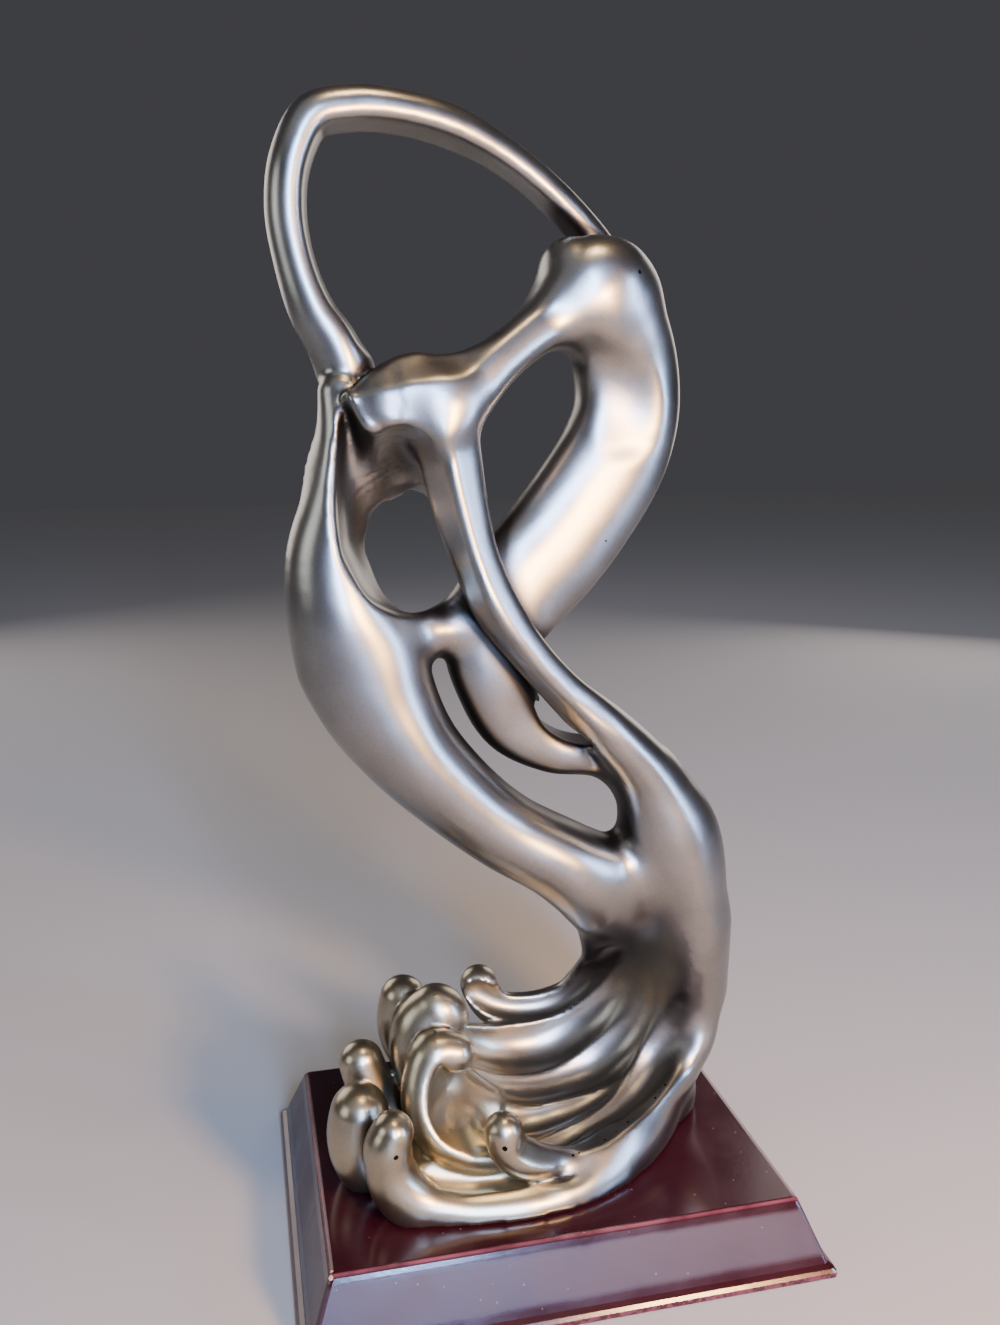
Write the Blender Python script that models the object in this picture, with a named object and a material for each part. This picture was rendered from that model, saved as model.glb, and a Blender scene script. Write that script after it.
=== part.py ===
"""Abstract mermaid statue: one cast figure standing on a low bevelled wooden plinth.

Two pieces, each a closed solid in an object of its own:
  plinth  turned-edge board the figure is fixed to
  figure  one casting: wave foot, trunk, two leaning bodies, shoulder, head and ring arm

The figure is drawn as limbs.  A limb is a row of stations, each an ellipse on a smooth
centre line.  Solid limbs are melted into one skin and hollow limbs are cut from it, in
four stages: bodies and arch, arms and scoop, rims and flutes, curls.  The casting is then
softened, cut flat where it stands on the plinth, and thinned out.

Metres, +Z up, -Y is the front.  Origin at the middle of the plinth's underside.
"""
import math
from dataclasses import dataclass

import bmesh
import bpy
import numpy as np
from mathutils import Vector
from mathutils.geometry import intersect_point_line

MM = 0.001

# ---- driving dimensions (mm) ------------------------------------------------------------
PLINTH_TOP_X = 156.0      # flat top of the plinth, side to side
PLINTH_TOP_Y = 119.0      # flat top, front to back
PLINTH_HEIGHT = 25.0
SEAT_GAP = 0.3            # bedding line between the casting and the plinth
SKIN = 1.5                # voxel size that melts the limbs together
SOFTEN = 2                # smoothing passes over the skin after each stage
# where the trunk runs out into the flutes: the ends of each line the skin is eased along, how far
# from it the easing reaches, and its passes
NECK_EASE = (
    (Vector((34, -12, 110)), Vector((63, -8, 70)), 24.0, 80),
    (Vector((14, 10, 86)), Vector((48, -12, 92)), 26.0, 240),
)
FIGURE_FACES = 9500       # triangles left on the casting
RING_SIDES = 24           # sides of a limb's section
STEP = 3.0                # spacing of the sections along a limb

# plinth profile from the underside up: (distance out from the flat top's edge, height)
PLINTH_PROFILE = (
    (11.4, 0.0), (12.0, 0.6), (12.0, 2.4), (11.2, 3.5), (9.6, 4.6), (8.7, 6.8),
    (2.4, 22.6), (1.8, 24.0), (0.9, 24.8), (0.0, PLINTH_HEIGHT),
)
PLINTH_CORNER = 1.6       # rounding of the four mitred corners

FRONT_TO_BACK = Vector((0, 1, 0))
UPRIGHT = Vector((0, 0, 1))
SIDEWAYS = Vector((1, 0, 0))


@dataclass(frozen=True)
class Limb:
    """A row of sections along a smooth line.

    A station is x, y, z, half width across the limb, half thickness along `depth`, in mm.
    `corner` is the power of the section's outline: 2 is an ellipse and 4 a rounded block.
    A flat is (direction it faces in the section in degrees, share of the reach that is
    left, first station, last station).
    """

    stations: tuple
    depth: Vector = FRONT_TO_BACK
    corner: float = 2.0
    flats: tuple = ()


# ---- the limbs ----------------------------------------------------------------------------
# the bodies
TRUNK_AND_LEFT_BODY = Limb((
    (-60, -5, 295, 7.5, 7), (-61, -4, 286, 7, 9.5), (-61.5, -3, 271, 9.5, 12), (-62.5, -3, 257, 13, 14),
    (-65, -3, 242, 15, 15), (-63, -3, 227, 18, 17), (-57, -2, 211, 22, 18), (-51, -2, 194, 20, 18),
    (-41, -2, 177, 17, 18), (-27, -2, 161, 15, 17), (-9, -2, 145, 14, 16), (13, -2, 131, 15, 17),
    (34, 0, 114, 20, 19), (47.5, 4, 92, 25, 18), (56, 10, 68, 18, 15), (56, 13, 44, 14, 16),
))
HIP_BRIDGE = Limb((
    (-44, -1, 218, 12, 10), (-29, 1, 217, 9, 9), (-14, 3, 222, 10, 8),
))
ARCH_WALL = Limb((
    (-58, 0, 255, 12, 10), (-54, 1, 268, 18, 11), (-45, 1, 273, 21, 12), (-34, 0, 272, 20, 11),
    (-27, -3, 258, 12, 9), (-22, -9, 246, 8, 7),
))
SHOULDER = Limb((
    (-57.5, -15, 293, 2.5, 5), (-52, -14, 293, 8, 9.5), (-45, -12.5, 292.5, 13, 12),
    (-34, -12, 293, 15, 12), (-23, -10, 297, 12.5, 11), (-12, -7, 304, 8.6, 10.5),
    (-2, -4, 310.5, 7.6, 10), (8, 0, 317.5, 8.8, 11), (19, 3, 326, 12, 12),
), corner=2.8, flats=((-90, 0.84, 0, 3), (-135, 0.8, 0, 3.5)))
TIP_FACE = Limb((
    (-58, -15, 292, 3, 5), (-55.5, -14, 284, 7, 8.5), (-53, -13, 275, 9, 9), (-51, -12, 266, 9, 9),
), flats=((-90, 0.88, 0, 3),))

# cut: the arch under the shoulder, front to back, and the groove below the tip
ARCH_FUNNEL = Limb((
    (-43, -34, 255, 25, 34), (-43.5, -20, 252.5, 20, 29), (-42.5, -12, 249.5, 17.5, 26),
    (-40, -4, 245.5, 14.5, 22), (-37.5, 5, 241.5, 12.3, 19.3), (-37, 24, 241, 12.8, 20),
), depth=UPRIGHT)
TIP_HOLLOW = Limb((
    (-60.6, -24, 295, 0.6, 4), (-59.8, -22, 288, 2.2, 9), (-58.3, -20, 281, 4.3, 12),
    (-56.5, -18, 272, 6.5, 14), (-53, -15, 262, 10, 15), (-49, -12, 252, 13, 16),
))

# the ribbon-like right body, the arm that crosses it, head and ring
RIGHT_BODY = Limb((
    (28, 4, 328, 17, 15), (34, 6, 317, 17, 15), (38, 8, 304, 18, 13), (39, 9, 289, 18.5, 12),
    (34.5, 9, 274, 19.5, 11), (25, 8, 259, 20, 10.5), (12, 6, 243, 20, 10.5), (-3, 3, 228, 19, 10),
    (-12, 2, 212, 16, 10), (-10, 2, 197, 14, 10), (-4, 3, 183, 12, 9), (10, 4, 172, 9, 9),
    (28, 3, 168, 8, 10), (44, 0, 160, 11, 13),
), corner=2.3, flats=((150, 0.88, 2, 6),))
CROSSING_ARM = Limb((
    (-29, -14, 290, 10, 9), (-27, -14, 272, 10, 10), (-24, -14, 257, 9, 10), (-20, -15, 242, 8, 9),
    (-14, -16, 227, 8, 9), (-4, -16, 212, 7, 8), (9, -14, 197, 7, 8), (26, -9, 181, 9, 11),
    (43, -5, 161, 12, 14), (52, -2, 139, 19, 18), (53, 0, 111, 23, 19), (57, 4, 88, 20, 17),
), flats=((-35, 0.66, 1, 6), (-115, 0.76, 1, 6), (150, 0.9, 8, 10)))
HEAD = Limb((
    (16, 3, 336, 8, 9), (20, 3, 334, 11, 12), (27, 4, 330, 15, 14), (34, 6, 326, 15, 14),
))
RING_ARM = Limb((
    (-57, -1, 302, 10.5, 10), (-61, 0, 310, 9, 9.5), (-67, 0, 320, 8, 9), (-72, 0, 335, 7, 8),
    (-74, 0, 351, 7, 8), (-71.5, 0, 366, 7, 8), (-65, 1, 377, 7, 8), (-53, 3, 380.5, 7, 8),
    (-38, 5, 380.5, 6.8, 8), (-21, 8, 377.5, 6.8, 8), (-4, 11, 370.5, 6, 7), (13, 14, 359.5, 6, 7),
    (28, 17, 346.5, 6, 7), (38, 17, 334, 6, 7),
), flats=((-14, 0.8, 1, 12),))
SMALL_GAP = Limb((
    (3.5, -3, 189.5, 1, 8), (8, -2, 183.5, 2.6, 13), (14, 0, 179.5, 3.2, 14), (22, 0, 176, 2.4, 13),
    (30, 0, 173.5, 1, 8),
))

# the wave: its mass and the scoop in it
WAVE_FLOOR = Limb((
    (-58, -8, 28, 14, 8), (-34, -10, 28, 34, 11), (0, -7, 28, 38, 13), (30, 2, 28, 32, 16),
    (48, 8, 30, 20, 20),
), depth=UPRIGHT)
WAVE_BACK = Limb((
    (60, 6, 74, 14, 18), (50, 8, 54, 18, 18), (30, 12, 40, 24, 16), (10, 14, 34, 26, 13),
    (-12, 14, 33, 26, 12), (-32, 10, 34, 22, 12),
), depth=UPRIGHT)
SCOOP = Limb((
    (34, -14, 72, 17, 16), (26, -14, 68, 18, 17), (10, -12, 60, 23, 21), (-12, -11, 58, 24, 20),
), depth=UPRIGHT)

# the rims and the beds the flutes are gouged in
BACK_RIM = Limb((
    (36, 10, 100, 13, 9), (41, 16, 82, 11, 9), (22, 26, 60, 7, 9), (5, 27, 58, 7, 8), (-7, 27, 62, 7, 7),
    (-13, 26, 73, 7.3, 7.3),
), depth=UPRIGHT)
RIM_ROOT = Limb((
    (40, 8, 106, 9, 10), (38.5, 8, 96, 9.5, 12), (35, 12, 86, 9, 11), (32, 18, 77, 8, 9),
    (28, 24, 69, 6, 7),
))
BED_ONE = Limb((
    (48, 10, 90, 11, 10), (31, 12, 72, 10, 8), (24, 16, 60, 10, 8), (10, 18, 52, 11, 8),
    (-5, 16, 51, 11, 8), (-22, 12, 56, 9, 8),
), depth=UPRIGHT)
BED_TWO = Limb((
    (52, 6, 80, 11, 10), (38, 5, 58, 11, 9), (33, 6, 50, 11, 9), (19, 6, 39, 12, 9), (5, 5, 36, 12, 9),
    (-8, 3, 41, 11, 8), (-22, 0, 52, 8, 8),
), depth=UPRIGHT)
BED_THREE = Limb((
    (56, 2, 66, 10, 9), (43, -1, 45, 10, 8), (20, -9, 35, 12, 9), (4, -12, 34, 12, 9),
    (-8, -12, 34, 10, 8), (-20, -10, 41, 7, 8), (-27, -8, 51, 6, 7),
), depth=UPRIGHT)
BED_FOUR = Limb((
    (57, -2, 60, 10, 9), (42, -6, 47, 10, 9), (34, -12, 40, 10, 9), (24, -18, 35, 11, 8),
    (10, -24, 31, 12, 8), (-2, -27, 29, 10, 8),
), depth=UPRIGHT)
HULL_FOOT = Limb((
    (54, 4, 34, 10.5, 10), (41, -12.5, 33, 11.5, 10), (26.6, -26.5, 32, 11, 9), (13, -35, 30, 8.5, 7),
    (1, -39, 27.5, 6.5, 4.5),
), depth=UPRIGHT)
RIM_RISE = Limb((
    (60, 2, 99, 15, 14), (63, 2, 84, 12.5, 13), (63.5, 1, 70, 11, 12.5), (61, 0, 57, 10, 11),
))
FRONT_RIM = Limb((
    (61, 0, 56, 10, 11), (54, -5.5, 46, 10, 10.5), (43, -13, 42, 10, 10.5), (35.5, -18, 38.5, 10, 10),
    (25, -24, 36, 10, 10), (17, -28, 34.3, 9, 9), (5.5, -32, 33, 7.5, 8), (-1, -36, 31, 6, 6),
), depth=UPRIGHT)
LOW_RIM = Limb((
    (20, -33, 25, 7, 4), (5, -40, 25.5, 7.5, 5), (-8, -43, 26, 7.5, 5.5), (-22, -43, 26.5, 7.5, 6),
    (-36, -41, 28, 8, 7), (-47, -39, 31, 8.5, 8), (-54, -37, 37, 8.5, 8),
), depth=UPRIGHT)
BASIN_FLOOR = Limb((
    (-32, -10, 44, 8, 8), (-27, -17, 39, 9, 8), (-19, -24, 34, 10, 7), (-11, -31, 30, 9, 6),
), depth=UPRIGHT)

# cut: the hollow under the trunk, the gouge strokes of the flutes, and the basins
NECK_HOLLOW = Limb((
    (37, -42, 130, 10, 12), (38, -32, 114, 12, 14), (39, -21, 99, 13, 15), (38, -12, 85, 13, 15),
    (34, -8, 72, 12, 14), (27, -8, 62, 8, 10),
))
NECK_EDGE = Limb((
    (12, -10, 98, 3, 3), (22, -5, 91, 6, 6), (30, -5, 86, 8, 8),
), depth=UPRIGHT)
FLUTE_ONE = Limb((
    (34, 8, 90, 2, 2), (29, 15.5, 77, 4, 4), (17, 18.5, 66, 5.5, 5.5), (5, 19.5, 64, 5.5, 5.5),
    (-5, 20, 66, 5.5, 5.5), (-14, 21, 71, 5.5, 5.5),
), depth=UPRIGHT)
FLUTE_TWO = Limb((
    (38, 0, 87, 3, 3), (35.5, 3, 79, 8, 8), (23, 6.5, 62.5, 11.2, 11.2), (9, 7.2, 56, 11.2, 11.2),
    (-5.5, 6, 57, 11, 11), (-22, 2, 65, 9, 9),
), depth=UPRIGHT)
FLUTE_THREE = Limb((
    (46, -10, 83, 3, 3), (41, -4, 69, 8.5, 8.5), (27.5, -2, 53, 10.1, 10.1), (12, -3, 49.5, 10.1, 10.1),
    (-2, -4.5, 50, 10.1, 10.1), (-14, -5, 54.5, 9.5, 9.5), (-25, -5, 64, 7, 7),
), depth=UPRIGHT)
FLUTE_FOUR = Limb((
    (46, -10, 68, 3, 3), (36, -9, 54, 6, 6), (22, -13.5, 46.8, 6.5, 6.5), (7, -18, 46, 8.5, 8.5),
    (-4, -19, 46, 10, 10), (-14, -19, 47, 9, 9),
), depth=UPRIGHT)
FLUTE_FIVE = Limb((
    (54, -11, 71, 2.5, 2.5), (51, -9.5, 63, 5.5, 5.5), (46, -10, 56, 7.2, 7.2), (37.5, -15, 50, 7.6, 7.6),
    (27.5, -20.5, 47, 7.5, 7.5), (14, -26.5, 44.5, 7.3, 7.3), (5, -29, 42.5, 7.2, 7.2), (-4, -31, 43, 7, 7),
), depth=UPRIGHT)
FLUTE_SIX = Limb((
    (66, -20, 78, 3, 3), (62, -18, 69, 6, 6), (55, -15.5, 61, 7.6, 7.6), (45, -18, 55.5, 8.1, 8.1),
    (36.5, -22.5, 51.4, 8.1, 8.1), (25.5, -28.3, 48.7, 8.1, 8.1), (17, -32, 46.5, 8, 8),
    (5, -34, 44.7, 7.5, 7.5),
), depth=UPRIGHT)
UPPER_FLOOR = Limb((
    (-25.5, -15, 60, 4.5, 8), (-21, -20, 54, 7, 9), (-16, -25.5, 49.5, 8.5, 9), (-12, -32, 46, 9.5, 9.5),
    (-11, -40, 44, 9.5, 9),
), depth=UPRIGHT)
LEFT_BASIN = Limb((
    (-50, 6, 68, 5, 8), (-50, -3, 60, 6, 9), (-49, -12, 54, 6, 9), (-47, -20, 52, 5.5, 8),
), depth=UPRIGHT)
TRAY = Limb((
    (10, -43.5, 36.5, 1, 1.2), (3, -42.5, 36, 2.6, 3.2), (-7, -38, 37, 6.5, 8.7), (-20, -37, 37, 7.5, 9.3),
    (-33, -36, 38, 7.5, 9.8), (-42, -34, 41, 6.5, 9.5), (-46, -30, 48, 5, 8),
), depth=UPRIGHT)

# the curls
LOW_CURL = Limb((
    (-50, -38, 30, 9, 9), (-54.5, -37.5, 36, 9, 9), (-57, -37, 45, 8.2, 8.5), (-57, -37, 52, 8, 8.3),
    (-55.5, -37, 56, 7, 7.5),
))
FRONT_CURL = Limb((
    (24, -29, 36, 2.5, 3.5), (14, -33.5, 34.6, 4, 4), (5, -36.5, 35.4, 4.6, 4.2),
    (-3, -38.5, 37.6, 5.6, 5.4), (-11, -40, 40.8, 7, 6.6), (-16.5, -40.5, 45.5, 6.8, 6.6),
    (-18.6, -40, 52.5, 6.6, 6.6),
), flats=((-40, 0.78, 1, 5),))
LEFT_CURL = Limb((
    (-55, -13, 26, 10, 10), (-63, -15, 33, 12, 10.5), (-65.3, -15, 43, 12, 10.6),
    (-64.3, -15, 51, 10.8, 10.2),
), depth=SIDEWAYS)
REAR_LEFT_CURL = Limb((
    (-36, 2, 34, 9, 9), (-50, 2, 40, 9, 9), (-58, 2, 50, 8.5, 8.5), (-61.5, 3, 60, 7.6, 8),
), depth=SIDEWAYS)
REAR_CURL = Limb((
    (-26, 10, 44, 10, 10), (-40, 12, 54, 9, 9), (-46, 15, 66, 8, 8), (-44, 16, 76, 8.5, 8.5),
))
HIGH_CURL = Limb((
    (-20, -6, 40, 10, 10), (-34, -2, 50, 12, 10), (-39.5, 2, 61, 11.5, 10), (-37, 4, 70, 12.5, 10.5),
    (-32, 3, 75.5, 11.5, 9.5),
))
MIDDLE_CURL = Limb((
    (-18, -28, 33, 6, 4), (-28, -26, 37, 8, 6), (-37, -22, 43, 8.5, 8), (-41.5, -18, 51, 8, 8),
    (-41, -14, 60, 8, 8), (-36, -11.5, 67.5, 8.5, 8.5), (-30, -12, 67, 7.5, 7.5),
), flats=((-35, 0.58, 1, 5),))

# what each stage adds, and what it then cuts
STAGES = (
    ((TRUNK_AND_LEFT_BODY, HIP_BRIDGE, ARCH_WALL, SHOULDER, TIP_FACE), (ARCH_FUNNEL, TIP_HOLLOW)),
    ((RIGHT_BODY, CROSSING_ARM, HEAD, RING_ARM, WAVE_FLOOR, WAVE_BACK), (SMALL_GAP, SCOOP)),
    ((BACK_RIM, RIM_ROOT, BED_ONE, BED_TWO, BED_THREE, BED_FOUR, HULL_FOOT, RIM_RISE, FRONT_RIM, LOW_RIM,
      BASIN_FLOOR),
     (NECK_HOLLOW, NECK_EDGE, FLUTE_ONE, FLUTE_TWO, FLUTE_THREE, FLUTE_FOUR, FLUTE_FIVE, FLUTE_SIX,
      UPPER_FLOOR, LEFT_BASIN, TRAY)),
    ((LOW_CURL, FRONT_CURL, LEFT_CURL, REAR_LEFT_CURL, REAR_CURL, HIGH_CURL, MIDDLE_CURL), ()),
)


def clear_scene():
    """Remove whatever the file opened with."""
    for thing in list(bpy.data.objects):
        bpy.data.objects.remove(thing, do_unlink=True)


def paint(name, colour, roughness, metallic):
    """A Principled material of one colour."""
    material = bpy.data.materials.new(name)
    material.use_nodes = True
    shader = material.node_tree.nodes["Principled BSDF"]
    shader.inputs["Base Color"].default_value = (*colour, 1.0)
    shader.inputs["Roughness"].default_value = roughness
    shader.inputs["Metallic"].default_value = metallic
    return material


def add_object(name, mesh):
    """Put a mesh in the scene as an object."""
    thing = bpy.data.objects.new(name, mesh)
    bpy.context.scene.collection.objects.link(thing)
    return thing


def new_mesh(name, bm):
    """Turn a bmesh into a mesh with its faces pointing out."""
    bmesh.ops.recalc_face_normals(bm, faces=bm.faces)
    mesh = bpy.data.meshes.new(name)
    bm.to_mesh(mesh)
    bm.free()
    return mesh


def between(stations, step):
    """Read a smooth curve through the stations, about `step` mm apart.

    The rows have the station's five numbers, and the station they lie at as the sixth.
    """
    rows = np.c_[np.array(stations, float), np.arange(len(stations))]
    steps = np.linalg.norm(np.diff(rows[:, :3], axis=0), axis=1)
    keys = np.r_[0.0, np.cumsum(steps)]
    rises = np.diff(rows, axis=0) / steps[:, None]
    slopes = np.empty_like(rows)
    before, after = steps[:-1, None], steps[1:, None]
    slopes[1:-1] = (rises[:-1] * after + rises[1:] * before) / (before + after)
    slopes[0] = 1.5 * rises[0] - 0.5 * slopes[1]
    slopes[-1] = 1.5 * rises[-1] - 0.5 * slopes[-2]
    at = np.linspace(0.0, keys[-1], max(4, round(keys[-1] / step)))
    i = np.clip(np.searchsorted(keys, at, side="right") - 1, 0, len(steps) - 1)
    span = steps[i][:, None]
    t = (at - keys[i])[:, None] / span
    return ((2 * t**3 - 3 * t**2 + 1) * rows[i] + (t**3 - 2 * t**2 + t) * span * slopes[i]
            + (3 * t**2 - 2 * t**3) * rows[i + 1] + (t**3 - t**2) * span * slopes[i + 1])


def outline(limb, row):
    """The section at one row, as points across and through the limb."""
    wide, thick, station = row[3], row[4], row[5]
    points = []
    for k in range(RING_SIDES):
        turn = 2 * math.pi * k / RING_SIDES
        u, v = math.cos(turn), math.sin(turn)
        grow = 1.0 / (abs(u) ** limb.corner + abs(v) ** limb.corner) ** (1.0 / limb.corner)
        u, v = u * grow * wide, v * grow * thick
        for facing, keep, first, last in limb.flats:
            across, along = math.cos(math.radians(facing)), math.sin(math.radians(facing))
            limit = keep * math.hypot(wide * across, thick * along)
            if first <= station <= last and u * across + v * along > limit:
                shrink = limit / (u * across + v * along)
                u, v = u * shrink, v * shrink
        points.append((u, v))
    return points


def add_limb(bm, limb):
    """Loft one closed limb with domed ends through its stations."""
    rows = between(limb.stations, STEP)
    points = [Vector(row[:3]) for row in rows]
    first_way = (points[1] - points[0]).normalized()
    last_way = (points[-1] - points[-2]).normalized()
    dome = [math.radians(a) for a in (78, 52, 26)]
    sections = []
    for angle in dome:
        cap = min(rows[0][3], rows[0][4])
        sections.append((points[0] - first_way * cap * math.sin(angle), first_way, rows[0], math.cos(angle)))
    for i, row in enumerate(rows):
        way = (points[min(i + 1, len(rows) - 1)] - points[max(i - 1, 0)]).normalized()
        sections.append((points[i], way, row, 1.0))
    for angle in reversed(dome):
        cap = min(rows[-1][3], rows[-1][4])
        sections.append((points[-1] + last_way * cap * math.sin(angle), last_way, rows[-1], math.cos(angle)))

    loops = []
    for centre, way, row, shrink in sections:
        back = limb.depth - way * limb.depth.dot(way)
        back.normalize()
        side = back.cross(way)
        loops.append([bm.verts.new((centre + side * u * shrink + back * v * shrink) * MM)
                      for u, v in outline(limb, row)])
    for near, far in zip(loops, loops[1:]):
        for i in range(RING_SIDES):
            j = (i + 1) % RING_SIDES
            bm.faces.new((near[i], near[j], far[j], far[i]))
    bm.faces.new(loops[0])
    bm.faces.new(loops[-1])


def settle(thing):
    """Replace an object's mesh by its evaluated one and drop the modifiers."""
    depsgraph = bpy.context.evaluated_depsgraph_get()
    mesh = bpy.data.meshes.new_from_object(thing.evaluated_get(depsgraph))
    thing.modifiers.clear()
    thing.data = mesh


def melt(thing, limbs):
    """Add closed limbs to an object and melt all of it into one skin."""
    bm = bmesh.new()
    bm.from_mesh(thing.data)
    added = bmesh.new()
    for limb in limbs:
        add_limb(added, limb)
    mesh = new_mesh("limbs", added)
    bm.from_mesh(mesh)
    bm.to_mesh(thing.data)
    bm.free()
    bpy.data.meshes.remove(mesh)
    remesh = thing.modifiers.new("melt", "REMESH")
    remesh.mode = "VOXEL"
    remesh.voxel_size = SKIN * MM
    remesh.adaptivity = 0.0
    settle(thing)


def carve(thing, limbs):
    """Cut hollow limbs out of an object."""
    cutter = add_object("cutter", bpy.data.meshes.new("cutter"))
    melt(cutter, limbs)
    cutter.hide_render = True
    cutter.display_type = "WIRE"
    cut = thing.modifiers.new("carve", "BOOLEAN")
    cut.operation = "DIFFERENCE"
    cut.solver = "EXACT"
    cut.object = cutter
    settle(thing)
    bpy.data.objects.remove(cutter, do_unlink=True)


def soften(thing, passes, line=None, reach=0.0):
    """Ease the fillets and edges of the skin, everywhere or near a straight line."""
    soft = thing.modifiers.new("soften", "SMOOTH")
    soft.factor = 0.5
    soft.iterations = passes
    if line:
        group = thing.vertex_groups.new(name="near the line")
        for vertex in thing.data.vertices:
            nearest, _ = intersect_point_line(vertex.co / MM, *line)
            share = 1.5 * (1.0 - (vertex.co / MM - nearest).length / reach)
            if share > 0.0:
                group.add([vertex.index], min(share, 1.0), "REPLACE")
        soft.vertex_group = group.name
    settle(thing)
    thing.vertex_groups.clear()


def thin_out(thing, faces):
    """Leave about `faces` triangles, fewer where the skin is flatter."""
    triangles = sum(len(face.vertices) - 2 for face in thing.data.polygons)
    thin = thing.modifiers.new("thin", "DECIMATE")
    thin.decimate_type = "COLLAPSE"
    thin.ratio = min(1.0, faces / triangles)
    thin.use_collapse_triangulate = True
    settle(thing)


def cut_foot(thing):
    """Cut the casting flat on its bedding line."""
    bm = bmesh.new()
    bm.from_mesh(thing.data)
    sole = (PLINTH_HEIGHT + SEAT_GAP) * MM
    whole = list(bm.verts) + list(bm.edges) + list(bm.faces)
    cut = bmesh.ops.bisect_plane(bm, geom=whole, dist=1e-7, plane_co=(0, 0, sole), plane_no=(0, 0, 1),
                                 clear_inner=True)
    rim = [e for e in cut["geom_cut"] if isinstance(e, bmesh.types.BMEdge)]
    bmesh.ops.holes_fill(bm, edges=rim, sides=0)
    bmesh.ops.remove_doubles(bm, verts=bm.verts, dist=1e-5)
    bmesh.ops.triangulate(bm, faces=bm.faces)
    bmesh.ops.recalc_face_normals(bm, faces=bm.faces)
    bm.to_mesh(thing.data)
    bm.free()


def build_figure():
    """The casting, stage by stage."""
    figure = add_object("figure", bpy.data.meshes.new("figure"))
    for solids, hollows in STAGES:
        melt(figure, solids)
        if hollows:
            carve(figure, hollows)
        if NECK_HOLLOW in hollows:
            for start, end, reach, passes in NECK_EASE:
                soften(figure, passes, (start, end), reach)
        soften(figure, SOFTEN)
    thin_out(figure, FIGURE_FACES)
    cut_foot(figure)
    figure.data.shade_smooth()
    figure.data.materials.clear()
    figure.data.materials.append(paint("silvered_resin", (0.40, 0.37, 0.33), 0.34, 0.9))


def rounded_outline(half_x, half_y, radius, height):
    """Corner-rounded rectangle as a closed run of points."""
    points = []
    for quarter, (sx, sy) in enumerate(((1, 1), (-1, 1), (-1, -1), (1, -1))):
        for step in range(4):
            turn = math.radians(90 * quarter + 30 * step)
            points.append(Vector((sx * (half_x - radius) + radius * math.cos(turn),
                                  sy * (half_y - radius) + radius * math.sin(turn), height)) * MM)
    return points


def build_plinth():
    """Rectangular board with a raked side, a small ledge and a square foot."""
    bm = bmesh.new()
    loops = []
    for out, height in PLINTH_PROFILE:
        half_x, half_y = PLINTH_TOP_X / 2 + out, PLINTH_TOP_Y / 2 + out
        outline = rounded_outline(half_x, half_y, PLINTH_CORNER, height)
        loops.append([bm.verts.new(point) for point in outline])
    for low, high in zip(loops, loops[1:]):
        for i in range(len(low)):
            j = (i + 1) % len(low)
            bm.faces.new((low[i], low[j], high[j], high[i]))
    bm.faces.new(loops[0])
    bm.faces.new(loops[-1])
    plinth = add_object("plinth", new_mesh("plinth", bm))
    plinth.data.shade_smooth()
    plinth.data.set_sharp_from_angle(angle=math.radians(40))
    plinth.data.materials.append(paint("oxblood_lacquer", (0.075, 0.010, 0.016), 0.28, 0.0))


def main():
    clear_scene()
    build_plinth()
    build_figure()


if __name__ == "__main__":
    main()
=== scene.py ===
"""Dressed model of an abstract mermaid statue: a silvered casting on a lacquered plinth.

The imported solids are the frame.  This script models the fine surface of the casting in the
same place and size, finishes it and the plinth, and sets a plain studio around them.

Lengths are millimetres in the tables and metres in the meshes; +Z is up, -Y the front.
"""
import logging
import math
from collections.abc import Callable, Iterable, Sequence
from dataclasses import dataclass, field
from enum import Enum
from functools import partial
from typing import Any

import bpy
import numpy as np
from mathutils import Matrix, Vector

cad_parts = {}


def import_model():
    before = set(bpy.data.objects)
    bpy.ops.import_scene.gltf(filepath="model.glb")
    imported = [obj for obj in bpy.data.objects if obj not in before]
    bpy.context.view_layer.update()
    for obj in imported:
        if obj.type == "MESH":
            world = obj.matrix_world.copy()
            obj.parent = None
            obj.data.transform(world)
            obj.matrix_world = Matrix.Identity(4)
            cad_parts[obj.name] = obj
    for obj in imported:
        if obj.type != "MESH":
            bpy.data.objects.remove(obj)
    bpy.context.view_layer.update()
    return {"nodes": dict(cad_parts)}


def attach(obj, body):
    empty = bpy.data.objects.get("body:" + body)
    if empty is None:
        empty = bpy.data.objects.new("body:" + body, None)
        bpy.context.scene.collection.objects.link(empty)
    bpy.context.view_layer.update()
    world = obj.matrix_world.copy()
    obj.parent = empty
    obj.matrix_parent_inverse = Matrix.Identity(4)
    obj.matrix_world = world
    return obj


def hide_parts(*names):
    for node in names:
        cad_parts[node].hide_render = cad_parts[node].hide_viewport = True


log = logging.getLogger("mermaid_statue")

MM = 0.001
BODY = "root"
PLINTH_HEIGHT = 25.0
SOLE = PLINTH_HEIGHT + 0.3  # underside of the casting, on its bedding line
Points = np.ndarray
Station = tuple[float, ...]
Socket = bpy.types.NodeSocket


# ---- small tools ----

def linear(colour: str) -> tuple[float, float, float, float]:
    """Turn an sRGB hex colour into linear light.

    Args:
        colour: six hex digits.

    Returns:
        The colour as red, green, blue and a full alpha.
    """
    parts = [int(colour[i:i + 2], 16) / 255 for i in (0, 2, 4)]
    red, green, blue = (p / 12.92 if p <= 0.04045 else ((p + 0.055) / 1.055) ** 2.4 for p in parts)
    return red, green, blue, 1.0


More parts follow.
